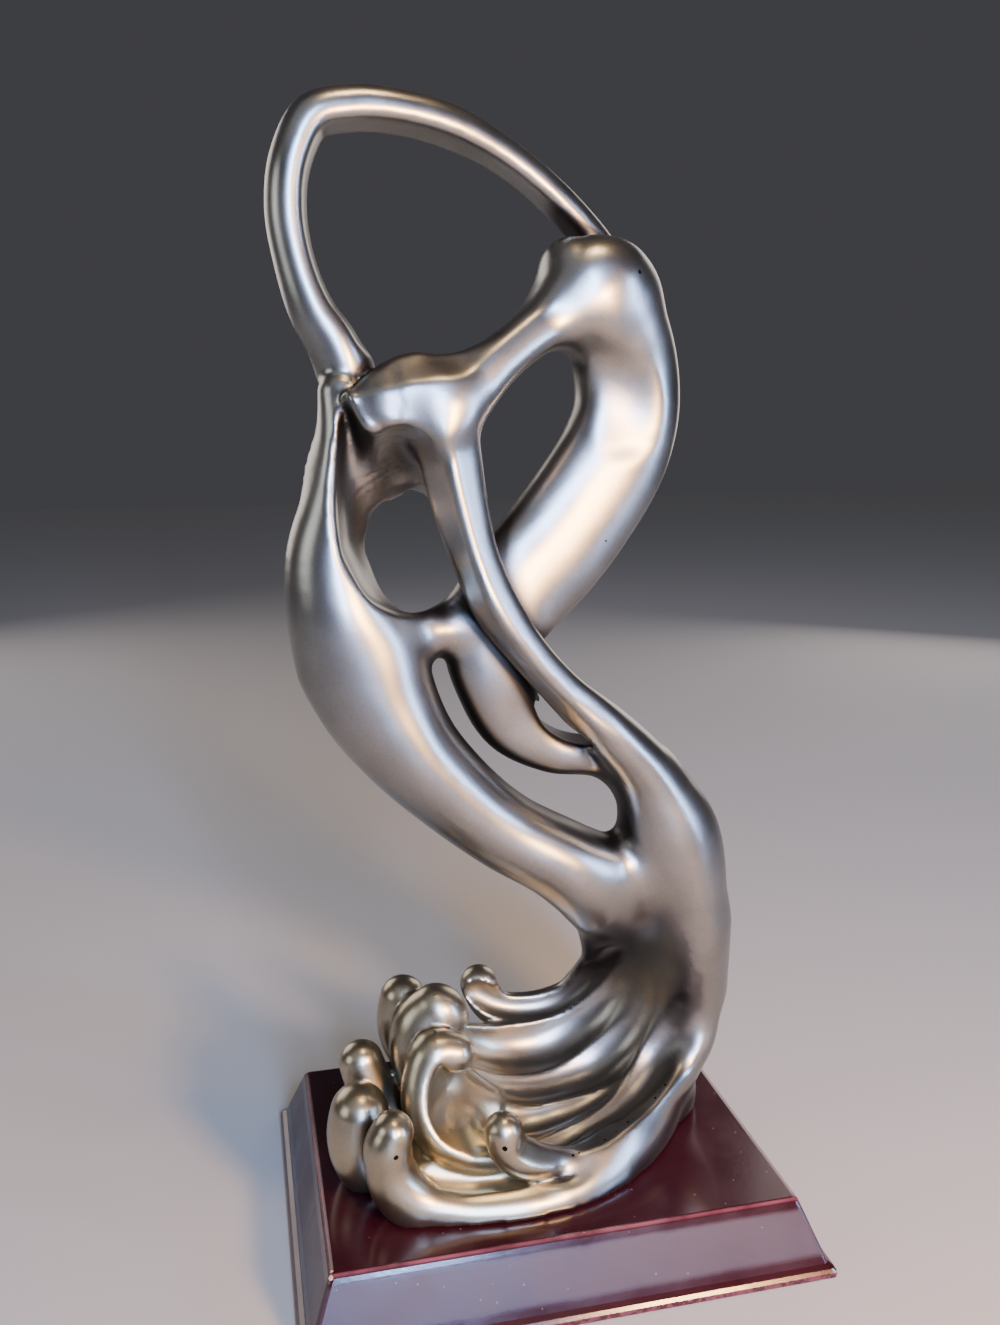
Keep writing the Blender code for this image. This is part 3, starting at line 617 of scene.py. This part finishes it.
def wave_limbs() -> tuple[Limb, ...]:
    """The wave: its mass, the gouged flutes, the rims and the curls.

    Returns:
        The limbs and hollows below the trunk.
    """
    bed = partial(Limb, depth=Depth.UPRIGHT)
    gouge = partial(Limb, depth=Depth.UPRIGHT, hollow=True)
    return (
        bed("wave_floor", (
            (-58, -8, 28, 14, 8), (-34, -10, 28, 34, 11), (0, -7, 28, 38, 13), (30, 2, 28, 32, 16),
            (48, 8, 30, 20, 20)), melt=5),
        bed("wave_back", (
            (60, 6, 74, 14, 18), (50, 8, 54, 18, 18), (30, 12, 40, 24, 16), (10, 14, 34, 26, 13),
            (-12, 14, 33, 26, 12), (-32, 10, 34, 22, 12)), melt=8),
        gouge("scoop", (
            (34, -14, 72, 17, 16), (26, -14, 68, 18, 17), (10, -12, 60, 23, 21), (-12, -11, 58, 24, 20)),
            melt=(10, 9)),
        bed("back_rim", (
            (36, 10, 100, 13, 9), (41, 16, 82, 11, 9), (22, 26, 60, 7, 9), (5, 27, 58, 7, 8),
            (-7, 27, 62, 7, 7), (-13, 26, 73, 7.3, 7.3)), melt=(10, 8, 3, 3, 2)),
        Limb("rim_root", (
            (40, 8, 106, 9, 10), (38.5, 8, 96, 9.5, 12), (35, 12, 86, 9, 11), (32, 18, 77, 8, 9),
            (28, 24, 69, 6, 7)), melt=(10, 8, 6, 5, 4)),
        bed("bed_one", (
            (48, 10, 90, 11, 10), (31, 12, 72, 10, 8), (24, 16, 60, 10, 8), (10, 18, 52, 11, 8),
            (-5, 16, 51, 11, 8), (-22, 12, 56, 9, 8)), melt=(8, 5, 3, 2)),
        bed("bed_two", (
            (52, 6, 80, 11, 10), (38, 5, 58, 11, 9), (33, 6, 50, 11, 9), (19, 6, 39, 12, 9),
            (5, 5, 36, 12, 9), (-8, 3, 41, 11, 8), (-22, 0, 52, 8, 8)), melt=(8, 6, 4, 3, 3, 2)),
        bed("bed_three", (
            (56, 2, 66, 10, 9), (43, -1, 45, 10, 8), (20, -9, 35, 12, 9), (4, -12, 34, 12, 9),
            (-8, -12, 34, 10, 8), (-20, -10, 41, 7, 8), (-27, -8, 51, 6, 7)), melt=(8, 6, 3, 3, 3, 2)),
        bed("bed_four", (
            (57, -2, 60, 10, 9), (42, -6, 47, 10, 9), (34, -12, 40, 10, 9), (24, -18, 35, 11, 8),
            (10, -24, 31, 12, 8), (-2, -27, 29, 10, 8)), melt=(8, 6, 3, 3, 3, 2)),
        bed("hull_foot", (
            (54, 4, 34, 10.5, 10), (41, -12.5, 33, 11.5, 10), (26.6, -26.5, 32, 11, 9),
            (13, -35, 30, 8.5, 7), (1, -39, 27.5, 6.5, 4.5)), melt=6),
        Limb("rim_rise", (
            (60, 2, 99, 15, 14), (63, 2, 84, 12.5, 13), (63.5, 1, 70, 11, 12.5), (61, 0, 57, 10, 11)),
            melt=(12, 10, 8, 6)),
        bed("front_rim", (
            (61, 0, 56, 10, 11), (54, -5.5, 46, 10, 10.5), (43, -13, 42, 10, 10.5),
            (35.5, -18, 38.5, 10, 10), (25, -24, 36, 10, 10), (17, -28, 34.3, 9, 9), (5.5, -32, 33, 7.5, 8),
            (-1, -36, 31, 6, 6)), melt=6),
        bed("basin_floor", (
            (-32, -10, 44, 8, 8), (-27, -17, 39, 9, 8), (-19, -24, 34, 10, 7), (-11, -31, 30, 9, 6)),
            melt=4),
        Limb("neck_hollow", (
            (37, -42, 130, 10, 12), (38, -32, 114, 12, 14), (39, -21, 99, 13, 15), (38, -12, 85, 13, 15),
            (34, -8, 72, 12, 14), (27, -8, 62, 8, 10)), melt=(22, 20, 16, 14, 10, 6), hollow=True),
        gouge("neck_edge", ((12, -10, 98, 3, 3), (22, -5, 91, 6, 6), (30, -5, 86, 8, 8)), melt=8),
        # gouge strokes: neighbours meet in the crests of the flutes
        gouge("flute_one", (
            (34, 8, 90, 2, 2), (29, 15.5, 77, 4, 4), (17, 18.5, 66, 5.5, 5.5), (5, 19.5, 64, 5.5, 5.5),
            (-5, 20, 66, 5.5, 5.5), (-14, 21, 71, 5.5, 5.5)), melt=(6, 3, 1.2)),
        gouge("flute_two", (
            (38, 0, 87, 3, 3), (35.5, 3, 79, 8, 8), (23, 6.5, 62.5, 11.2, 11.2), (9, 7.2, 56, 11.2, 11.2),
            (-5.5, 6, 57, 11, 11), (-22, 2, 65, 9, 9)), melt=(12, 8, 1.6, 1.2)),
        gouge("flute_three", (
            (46, -10, 83, 3, 3), (41, -4, 69, 8.5, 8.5), (27.5, -2, 53, 10.1, 10.1),
            (12, -3, 49.5, 10.1, 10.1), (-2, -4.5, 50, 10.1, 10.1), (-14, -5, 54.5, 9.5, 9.5),
            (-25, -5, 64, 7, 7)), melt=(10, 6, 1.4, 1.2)),
        gouge("flute_four", (
            (46, -10, 68, 3, 3), (36, -9, 54, 6, 6), (22, -13.5, 46.8, 6.5, 6.5), (7, -18, 46, 8.5, 8.5),
            (-4, -19, 46, 10, 10), (-14, -19, 47, 9, 9)), melt=(8, 3, 1.2)),
        gouge("flute_five", (
            (54, -11, 71, 2.5, 2.5), (51, -9.5, 63, 5.5, 5.5), (46, -10, 56, 7.2, 7.2),
            (37.5, -15, 50, 7.6, 7.6), (27.5, -20.5, 47, 7.5, 7.5), (14, -26.5, 44.5, 7.3, 7.3),
            (5, -29, 42.5, 7.2, 7.2), (-4, -31, 43, 7, 7)), melt=(6, 4, 2, 1.2)),
        gouge("flute_six", (
            (66, -20, 78, 3, 3), (62, -18, 69, 6, 6), (55, -15.5, 61, 7.6, 7.6), (45, -18, 55.5, 8.1, 8.1),
            (36.5, -22.5, 51.4, 8.1, 8.1), (25.5, -28.3, 48.7, 8.1, 8.1), (17, -32, 46.5, 8, 8),
            (5, -34, 44.7, 7.5, 7.5)), melt=(10, 10, 8, 4, 1.6, 1.2)),
        gouge("upper_floor", (
            (-25.5, -15, 60, 4.5, 8), (-21, -20, 54, 7, 9), (-16, -25.5, 49.5, 8.5, 9),
            (-12, -32, 46, 9.5, 9.5), (-11, -40, 44, 9.5, 9)), melt=1.5),
        gouge("left_basin", (
            (-50, 6, 68, 5, 8), (-50, -3, 60, 6, 9), (-49, -12, 54, 6, 9), (-47, -20, 52, 5.5, 8)),
            melt=1.5),
        bed("low_rim", (
            (20, -33, 25, 7, 4), (5, -40, 25.5, 7.5, 5), (-8, -43, 26, 7.5, 5.5), (-22, -43, 26.5, 7.5, 6),
            (-36, -41, 28, 8, 7), (-47, -39, 31, 8.5, 8), (-54, -37, 37, 8.5, 8)), melt=(8, 8, 6, 4, 3)),
        gouge("tray", (
            (10, -43.5, 36.5, 1, 1.2), (3, -42.5, 36, 2.6, 3.2), (-7, -38, 37, 6.5, 8.7),
            (-20, -37, 37, 7.5, 9.3), (-33, -36, 38, 7.5, 9.8), (-42, -34, 41, 6.5, 9.5),
            (-46, -30, 48, 5, 8)), melt=(2, 1.5, 1.2)),
        Limb("low_curl", (
            (-50, -38, 30, 9, 9), (-54.5, -37.5, 36, 9, 9), (-57, -37, 45, 8.2, 8.5),
            (-57, -37, 52, 8, 8.3), (-55.5, -37, 56, 7, 7.5)), melt=2),
        Limb("front_curl", (
            (24, -29, 36, 2.5, 3.5), (14, -33.5, 34.6, 4, 4), (5, -36.5, 35.4, 4.6, 4.2),
            (-3, -38.5, 37.6, 5.6, 5.4), (-11, -40, 40.8, 7, 6.6), (-16.5, -40.5, 45.5, 6.8, 6.6),
            (-18.6, -40, 52.5, 6.6, 6.6)), melt=(5, 4, 2, 1.2), faces=(Face(-40, 0.78, 1, 5, 1.2),)),
        Limb("left_curl", (
            (-55, -13, 26, 10, 10), (-63, -15, 33, 12, 10.5), (-65.3, -15, 43, 12, 10.6),
            (-64.3, -15, 51, 10.8, 10.2)), melt=1.5, depth=Depth.SIDEWAYS),
        Limb("rear_left_curl", (
            (-36, 2, 34, 9, 9), (-50, 2, 40, 9, 9), (-58, 2, 50, 8.5, 8.5), (-61.5, 3, 60, 7.6, 8)),
            melt=1.5, depth=Depth.SIDEWAYS),
        Limb("rear_curl", (
            (-26, 10, 44, 10, 10), (-40, 12, 54, 9, 9), (-46, 15, 66, 8, 8), (-44, 16, 76, 8.5, 8.5)),
            melt=1.5),
        Limb("high_curl", (
            (-20, -6, 40, 10, 10), (-34, -2, 50, 12, 10), (-39.5, 2, 61, 11.5, 10),
            (-37, 4, 70, 12.5, 10.5), (-32, 3, 75.5, 11.5, 9.5)), melt=1.2),
        Limb("middle_curl", (
            (-18, -28, 33, 6, 4), (-28, -26, 37, 8, 6), (-37, -22, 43, 8.5, 8), (-41.5, -18, 51, 8, 8),
            (-41, -14, 60, 8, 8), (-36, -11.5, 67.5, 8.5, 8.5), (-30, -12, 67, 7.5, 7.5)), melt=1.2,
            faces=(Face(-35, 0.58, 1, 5, 1.0),)),
    )


# ---- finishes ----

EASED = {"interpolation_type": "SMOOTHSTEP"}  # a mask that starts and ends gently
RAG = 1.6  # tooth of a chip's ragged edge
TIMES = {"operation": "MULTIPLY"}


def begin_material(name: str) -> tuple[bpy.types.Material, bpy.types.Node]:
    """Start a material.

    Args:
        name: the material's name.

    Returns:
        The material and its shader.
    """
    material = bpy.data.materials.new(name)
    material.use_nodes = True
    return material, material.node_tree.nodes["Principled BSDF"]


def lay_coats(node: Callable[..., Socket], ground: str, coats: Iterable[tuple[Any, Any, str]]) -> Socket:
    """Lay coats of colour over a ground, one on the other.

    Args:
        node: adds a node to the material.
        ground: the ground's sRGB hex colour.
        coats: for each coat, how much of it shows, its hex colour or socket, and how it blends.

    Returns:
        The finished colour's socket.
    """
    colour: Any = linear(ground)
    for share, coat, kind in coats:
        over = linear(coat) if isinstance(coat, str) else coat
        colour = node("Mix", {0: share, 6: colour, 7: over}, 2, data_type="RGBA", blend_type=kind)
    return colour


def near_marks(node: Callable[..., Socket], place: Socket, marks: Sequence[Station]) -> Socket:
    """Mask small ragged marks at known places.

    Args:
        node: adds a node to the material.
        place: the surface's own coordinates.
        marks: x, y, z and radius of each mark, in millimetres.

    Returns:
        One inside the marks and nought outside them.
    """
    rag = node("TexNoise", {"Vector": place, "Scale": 1 / (RAG * MM), "Detail": 2.0})
    # rims wander by a third about seven tenths of the radius
    ragged = node("Math", (rag, 1.1, 0.45), operation="MULTIPLY_ADD")
    mask: Any = 0.0
    for x, y, z, radius in marks:
        gap = node("VectorMath", (place, (x * MM, y * MM, z * MM)), "Value", operation="DISTANCE")
        rim = node("Math", (ragged, 0.7 * radius * MM), **TIMES)
        mark = node("Math", (gap, rim), operation="LESS_THAN")
        mask = node("Math", (mask, mark), operation="MAXIMUM")
    return mask


@dataclass(frozen=True)
class SilveredResin:
    """Antique-silver metallic paint over cast resin.

    Flake paint is sprayed satin, so lights spread into soft bright pools with a fine grain;
    a brown wash is wiped off the high places and stays in the recesses, deepened there into
    painted shade; sharp crests are lighter, partly worn paint and partly a painted highlight; the
    curls and the wave's floor are warmed with champagne, partly the paint's tint and partly a
    painted warm light; the shoulder's upturned faces are darker and duller in patches; chips show
    the dark resin.
    """

    silver: str = "85847e"
    bright: str = "b6b5af"
    # brown wash in the recesses, deepened there as painted shade
    wash_and_shade: str = "2c2826"
    # champagne, partly the paint's own tint and partly painted warm light
    champagne_and_warm_light: str = "b8a880"
    # darker colour laid on the shoulder's upturned faces
    dust: str = "38302e"
    bare: str = "17130f"
    roughness: float = 0.30
    grain: float = 0.5  # flakes, drawn coarse so that they show
    patch: float = 22.0  # uneven passes of the spray gun
    basin: Station = (-26.0, -30.0, 38.0)  # middle of the floor inside the curls
    basin_edge: tuple[float, float] = (36.0, 16.0)  # from there, where it starts and is full
    curls_right: tuple[float, float] = (4.0, -14.0)  # x where the curls' champagne and painted warm light start and are full
    curls_top: tuple[float, float] = (110.0, 95.0)  # z where it starts and is full
    shoulder: float = 305.5  # height of the darker band's middle
    shoulder_edge: tuple[float, float] = (14.0, 7.0)  # from there, where it starts and is full
    wash_and_shade_recess: tuple[float, float] = (0.18, 0.56)  # how hollow, where the wash and painted shade start and are full
    chips: tuple[Station, ...] = (
        (36.7, -10.1, 332.3, 1.0), (34.6, -10.4, 331.6, 0.5), (28.4, -2.0, 245.2, 0.55),
        (-19.7, -46.7, 50.3, 1.2), (-55.6, -45.1, 51.9, 1.15), (6.0, -38.8, 38.7, 0.8),
        (8.3, -38.2, 38.9, 0.6), (18.9, -34.4, 39.5, 0.7), (29.2, -28.8, 41.4, 0.8),
        (31.2, -28.2, 42.0, 0.5), (41.8, -22.0, 44.8, 0.8), (47.0, -18.3, 47.1, 0.7),
        (44.2, -20.4, 46.0, 0.45), (23.8, -32.0, 40.4, 0.45), (-66.0, -2.0, 308.0, 0.5))

    def make(self) -> bpy.types.Material:
        """Build the material.

        Returns:
            The material.
        """
        material, shader = begin_material("antique_silver_paint")
        tree = material.node_tree
        node = partial(add_node, tree)
        shader.inputs["Metallic"].default_value = 1.0
        place = node("TexCoord", output="Object")
        across, height = (node("SeparateXYZ", (place,), axis) for axis in "XZ")
        recess, crest, upward = (node("Attribute", output="Fac", attribute_name=name)
                                 for name in ("recess", "crest", "facing_up"))
        grain = node("TexNoise", {"Vector": place, "Scale": 1 / (self.grain * MM), "Detail": 1.0})
        patch = node("TexNoise", {"Vector": place, "Scale": 1 / (self.patch * MM), "Detail": 4.0,
                                  "Roughness": 0.6})

        # champagne, partly the paint's tint and partly painted warm light: thin over the curls, fuller on
        # the floor inside their ring
        beside = node("MapRange", (across, *(x * MM for x in self.curls_right)), **EASED)
        below = node("MapRange", (height, *(z * MM for z in self.curls_top)), **EASED)
        curled = node("Math", (beside, below), **TIMES)
        gap = node("VectorMath", (place, [p * MM for p in self.basin]), "Value", operation="DISTANCE")
        ringed = node("MapRange", (gap, *(d * MM for d in self.basin_edge)), **EASED)
        sunk = node("MapRange", (recess, 0.12, 0.42), **EASED)
        floor = node("Math", (ringed, sunk), **TIMES)

        # brown wash and painted shade left in the recesses, thinner where the paint is champagne
        kept = node("MapRange", (recess, *self.wash_and_shade_recess), **EASED)
        thinned = node("MapRange", (curled, 0.0, 1.0, 0.94, 0.36), **EASED)
        deep = node("Math", (kept, thinned), **TIMES)
        wiped = node("MapRange", (floor, 0.0, 1.0, 1.0, 0.35), **EASED)
        wash_and_shade = node("Math", (deep, wiped), **TIMES)

        # darker, duller patches along the shoulder, on what faces up
        facing = node("MapRange", (upward, 0.50, 0.85), **EASED)
        in_patches = node("MapRange", (patch, 0.15, 0.60, 0.45, 1.0), **EASED)
        upturned_patches = node("Math", (facing, in_patches), **TIMES)
        above = node("Math", (height, self.shoulder * MM), operation="SUBTRACT")
        off = node("Math", (above,), operation="ABSOLUTE")
        close = node("MapRange", (off, *(d * MM for d in self.shoulder_edge)), **EASED)
        shoulder_darkening = node("Math", (upturned_patches, close), **TIMES)

        chipped = near_marks(node, place, self.chips)
        colour = lay_coats(node, self.silver, (
            (node("MapRange", (patch, 0.2, 0.8, 0.0, 0.3), **EASED), self.bright, "MIX"),
            # champagne with painted warm light over the curls, and fuller on the floor inside them
            (node("Math", (curled, 0.45), **TIMES), self.champagne_and_warm_light, "MIX"),
            (node("Math", (floor, 0.7), **TIMES), self.champagne_and_warm_light, "MIX"),
            # recesses darkened: a brown wash, deepened into painted shade
            (wash_and_shade, self.wash_and_shade, "MIX"),
            # sharp crests lightened: partly paint worn on the edges, partly a painted highlight along them
            (node("MapRange", (crest, 0.40, 1.0, 0.0, 0.5), **EASED), self.bright, "MIX"),
            # the shoulder's upturned faces darkened in patches
            (node("Math", (shoulder_darkening, 0.85), **TIMES), self.dust, "MIX"),
            (1.0, node("MapRange", (grain, 0.3, 0.7, 0.93, 1.05), **EASED), "MULTIPLY"),
            (chipped, self.bare, "MIX")))
        tree.links.new(colour, shader.inputs["Base Color"])

        satin = node("MapRange", (patch, 0.2, 0.8, self.roughness - 0.02, self.roughness + 0.04), **EASED)
        coated = node("Math", (shoulder_darkening, deep), operation="MAXIMUM")
        duller = node("Math", (coated, 0.16, satin), operation="MULTIPLY_ADD")
        tree.links.new(node("Math", (chipped, 0.4, duller), operation="MULTIPLY_ADD"),
                       shader.inputs["Roughness"])
        flakes = node("Math", (grain, 0.05), **TIMES)
        relief = node("Math", (flakes, chipped), operation="SUBTRACT")
        tree.links.new(node("Bump", {"Height": relief, "Strength": 0.55, "Distance": 0.3 * MM}),
                       shader.inputs["Normal"])
        return material


@dataclass(frozen=True)
class OxbloodLacquer:
    """Dark oxblood lacquer, sprayed in several coats over wood-fibre board.

    The flat top is polished and deep; the raked sides are hazier and greyer, partly dulled with
    handling and partly a painted reflection; the lip round the top is rubbed to a thin pink line, a
    painted highlight in the same pink runs along the foot's nose, and one corner is knocked to pale board.
    """

    colour: str = "26070f"
    second_coat: str = "360c17"
    haze_and_reflection: str = "32222c"
    rubbed_and_highlight: str = "7c424c"
    dust: str = "8a7a78"
    board: str = "b89c80"
    cloud: float = 30.0  # uneven polish
    orange_peel: float = 1.8  # ripple left by the spray
    specks: float = 6.0  # spacing of the dust's grains
    top: tuple[float, float] = (78.0, 59.5)  # half width and half depth of the flat top
    side: tuple[Station, Station] = ((6.0, 9.0), (22.8, 20.5))  # heights, haze and painted reflection from nought to full
    lip: tuple[Station, Station] = ((0.2, 0.7), (1.8, 1.0))  # the same past the flat top's edge
    # past the flat top's edge, where the painted highlight on the foot's nose starts and is full
    foot: Station = (11.2, 11.9)
    knocks: tuple[Station, ...] = ((-79.2, -60.6, 24.3, 1.3), (-78.6, -58.6, 24.7, 0.7),
                                   (90.0, -71.0, 2.4, 0.8))

    def make(self) -> bpy.types.Material:
        """Build the material.

        Returns:
            The material.
        """
        material, shader = begin_material("oxblood_lacquer")
        tree = material.node_tree
        node = partial(add_node, tree)
        shader.inputs["Coat Weight"].default_value = 0.2
        shader.inputs["Coat Roughness"].default_value = 0.09
        place = node("TexCoord", output="Object")
        height = node("SeparateXYZ", (place,), "Z")
        cloud = node("TexNoise", {"Vector": place, "Scale": 1 / (self.cloud * MM), "Detail": 5.0,
                                  "Roughness": 0.62})
        orange_peel = node("TexNoise", {"Vector": place, "Scale": 1 / (self.orange_peel * MM),
                                        "Detail": 2.0})
        specks = node("TexVoronoi", {"Vector": place, "Scale": 1 / (self.specks * MM)})
        outs = []
        for axis, half in zip("XY", self.top):
            from_middle = node("Math", (node("SeparateXYZ", (place,), axis),), operation="ABSOLUTE")
            outs.append(node("Math", (from_middle, half * MM), operation="SUBTRACT"))
        past_top = node("Math", outs, operation="MAXIMUM")

        # the raked side is hazed and greyed, partly dulled lacquer and partly a painted reflection; the lip
        # is rubbed, and the foot's edge carries a painted highlight, all unevenly
        shares = []
        for reading, edges, unevenness in (
                (height, self.side, node("MapRange", (cloud, 0.25, 0.75, 0.50, 0.80), **EASED)),
                (past_top, self.lip, node("MapRange", (cloud, 0.32, 0.62, 0.20, 0.80), **EASED)),
                (past_top, (self.foot,), node("MapRange", (orange_peel, 0.4, 0.6, 0.1, 0.5), **EASED))):
            share = unevenness
            for start, full in edges:
                edge = node("MapRange", (reading, start * MM, full * MM), **EASED)
                share = node("Math", (share, edge), **TIMES)
            shares.append(share)
        hazed_and_reflecting, lip, foot = shares

        knocked = near_marks(node, place, self.knocks)
        colour = lay_coats(node, self.colour, (
            (node("MapRange", (cloud, 0.3, 0.75, 0.0, 0.35), **EASED), self.second_coat, "MIX"),
            # raked side greyed: partly dulled lacquer, partly a painted reflection
            (hazed_and_reflecting, self.haze_and_reflection, "MIX"),
            # rubbed pink on the lip, and a painted highlight in the same pink along the foot's nose
            (node("Math", (lip, foot), operation="MAXIMUM"), self.rubbed_and_highlight, "MIX"),
            (node("MapRange", (specks, 0.07, 0.03, 0.0, 0.5), **EASED), self.dust, "MIX"),
            (knocked, self.board, "MIX")))
        tree.links.new(colour, shader.inputs["Base Color"])

        gloss = node("MapRange", (cloud, 0.3, 0.7, 0.16, 0.26), **EASED)
        dulled = node("Math", (hazed_and_reflecting, knocked), operation="MAXIMUM")
        tree.links.new(node("Math", (dulled, 0.35, gloss), operation="MULTIPLY_ADD"),
                       shader.inputs["Roughness"])
        ripple = node("Math", (orange_peel, 0.12), **TIMES)
        relief = node("Math", (ripple, knocked), operation="SUBTRACT")
        tree.links.new(node("Bump", {"Height": relief, "Strength": 0.4, "Distance": 0.4 * MM}),
                       shader.inputs["Normal"])
        return material


# ---- studio ----

@dataclass(frozen=True)
class Lamp:
    """One soft square lamp, aimed at the statue; metres and watts."""

    name: str
    place: Station
    size: tuple[float, float]
    power: float
    colour: str
    aim: Station = (0.0, 0.0, 0.2)

    def hang(self) -> None:
        """Hang the lamp in its place."""
        data = bpy.data.lights.new(self.name, "AREA")
        data.shape = "RECTANGLE"
        data.size, data.size_y = self.size
        data.energy = self.power
        data.color = linear(self.colour)[:3]
        thing = bpy.data.objects.new(self.name, data)
        bpy.context.scene.collection.objects.link(thing)
        thing.location = self.place
        thing.rotation_euler = (Vector(self.aim) - Vector(self.place)).to_track_quat("-Z", "Y").to_euler()


@dataclass(frozen=True)
class Studio:
    """Pale floor, soft lamps and the camera."""

    camera_place: Station = (-95.68, -386.35, 285.57)  # millimetres; angles are degrees
    yaw: float = 12.670
    pitch: float = 11.572
    roll: float = 0.713
    lens: float = 31.94
    card: str = "aaa8a4"
    air: str = "626268"
    lamps: tuple[Lamp, ...] = (
        Lamp("window", (0.06, -1.15, 0.54), (0.12, 0.74), 38, "a4c4ff"),
        Lamp("side_window", (0.85, -0.62, 0.32), (0.09, 0.50), 9, "a4c4ff"),
        Lamp("left_room", (-1.1, -0.30, 0.50), (0.50, 0.50), 3, "e4e6ea"),
        Lamp("warm_lamp", (0.19, -0.50, 0.29), (0.08, 0.08), 8, "ffc27c"),
        Lamp("ceiling", (0.10, -0.20, 1.05), (0.12, 0.12), 3, "ffd8a4"),
        Lamp("back_left", (-0.75, 1.05, 0.60), (0.80, 0.80), 6, "f0e4e0"),
        Lamp("back_right", (0.80, 0.85, 0.50), (0.50, 0.80), 3.5, "f0e4e0"))

    def camera(self) -> None:
        """Set the camera at the usual viewing angle."""
        yaw, pitch, roll = (math.radians(a) for a in (self.yaw, self.pitch, self.roll))
        ahead = Vector((math.sin(yaw) * math.cos(pitch), math.cos(yaw) * math.cos(pitch), -math.sin(pitch)))
        right = Vector((math.cos(yaw), -math.sin(yaw), 0.0))
        down = ahead.cross(right)
        level = math.cos(roll) * right + math.sin(roll) * down
        up = math.sin(roll) * right - math.cos(roll) * down
        turn = Matrix((level, up, -ahead)).transposed().to_4x4()
        turn.translation = Vector(self.camera_place) * MM
        data = bpy.data.cameras.new("camera")
        data.sensor_width = 36.0
        data.lens = self.lens
        data.clip_start = 0.01
        thing = bpy.data.objects.new("camera", data)
        bpy.context.scene.collection.objects.link(thing)
        thing.matrix_world = turn
        bpy.context.scene.camera = thing

    def floor(self) -> None:
        """Lay the pale card that the statue stands on."""
        bpy.ops.mesh.primitive_plane_add(size=6.0, location=(0, 1.0, 0))
        floor = bpy.context.object
        floor.name = "studio_floor"
        material, shader = begin_material("pale_card")
        shader.inputs["Base Color"].default_value = linear(self.card)
        shader.inputs["Roughness"].default_value = 0.9
        floor.data.materials.append(material)

    def daylight(self) -> None:
        """Fill the studio with dim air and broad light from above."""
        world = bpy.data.worlds.new("studio_air")
        world.use_nodes = True
        background = world.node_tree.nodes["Background"]
        background.inputs["Color"].default_value = linear(self.air)
        background.inputs["Strength"].default_value = 0.45
        bpy.context.scene.world = world
        sky = bpy.data.lights.new("skylight", "SUN")
        sky.energy, sky.angle, sky.color = 0.30, math.radians(60), linear("f4f6ff")[:3]
        thing = bpy.data.objects.new("skylight", sky)
        thing.rotation_euler = (math.radians(28), math.radians(-18), 0)
        bpy.context.scene.collection.objects.link(thing)

    def build(self) -> None:
        """Lay the floor, light it and set the camera."""
        self.floor()
        self.daylight()
        for lamp in self.lamps:
            lamp.hang()
        self.camera()


def main() -> None:
    """Build, dress and place every piece."""
    logging.basicConfig(level=logging.INFO, format="%(name)s: %(message)s")
    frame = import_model()
    Studio().build()
    casting = Casting().build()
    casting.data.materials.append(SilveredResin().make())
    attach(casting, BODY)
    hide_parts("figure")
    plinth = frame["nodes"]["plinth"]
    plinth.material_slots[0].material = OxbloodLacquer().make()
    log.info("plinth: %d faces", len(plinth.data.polygons))


if __name__ == "__main__":
    main()
